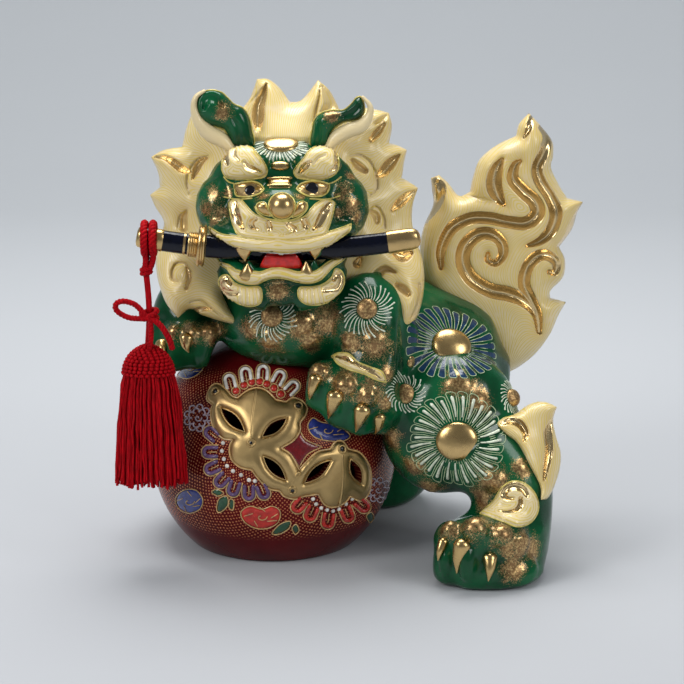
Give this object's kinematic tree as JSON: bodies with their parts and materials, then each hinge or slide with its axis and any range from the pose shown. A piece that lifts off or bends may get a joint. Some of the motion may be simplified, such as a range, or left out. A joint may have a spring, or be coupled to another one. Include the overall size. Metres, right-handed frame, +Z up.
{
  "type": "ceramic lion figurine",
  "caption": "Glazed ceramic guardian lion with forepaws on a pierced ball, holding a tasselled sword that draws out of its mouth.",
  "frame": {"origin": "on the table under the middle of the box round the lion and its sword, cord and tassel left out", "axes": "+Z up, -Y the way the face looks, -X the way the body walks, with the tail at +X"},
  "size_m": [0.2873, 0.2144, 0.2938],
  "materials": {
    "green": "glossy green overglaze enamel on porcelain",
    "ivory": "ivory glaze with fine yellow lines and gilding",
    "red": "iron-red enamel with gilt drawing",
    "gold": "gilded porcelain",
    "tongue": "red enamel",
    "black": "glossy blue-black glaze",
    "cord": "red silk cord and thread"
  },
  "bodies": {
    "lion": {"ball": "red", "torso": "green", "near_foreleg": "green", "far_foreleg": "green", "near_hind_leg": "green", "far_hind_leg": "green", "head": "green", "lower_jaw": "ivory", "tongue": "tongue", "mane": "ivory", "far_ear": "green", "near_ear": "green", "tail": "ivory", "near_hock_tuft": "ivory", "far_hock_tuft": "ivory"},
    "sword": {"scabbard": "black", "scabbard_tip": "gold", "guard": "gold", "hilt_collar": "gold", "hilt": "black", "pommel": "gold"},
    "cord": {"cord_wrap": "cord"},
    "tassel": {"cord_stem": "cord", "bow": "cord", "tassel_cap": "cord", "tassel_skirt": "cord"}
  },
  "joints": [
    {"name": "sword_draw", "type": "hinge", "parent": "lion", "child": "sword", "pos_m": [-0.04717, -0.06916, 0.651], "axis": [0, 1, 0], "range_deg": [0, 17]},
    {"name": "cord_swing", "type": "hinge", "parent": "sword", "child": "cord", "pos_m": [-0.12517, -0.06916, 0.20781], "axis": [0.9849, 0, -0.1733], "range_deg": [-60, 1]},
    {"name": "tassel_sway", "type": "hinge", "parent": "cord", "child": "tassel", "pos_m": [-0.12717, -0.06916, 0.1856], "axis": [0, 1, 0], "range_deg": [-1, 20]}
  ]
}
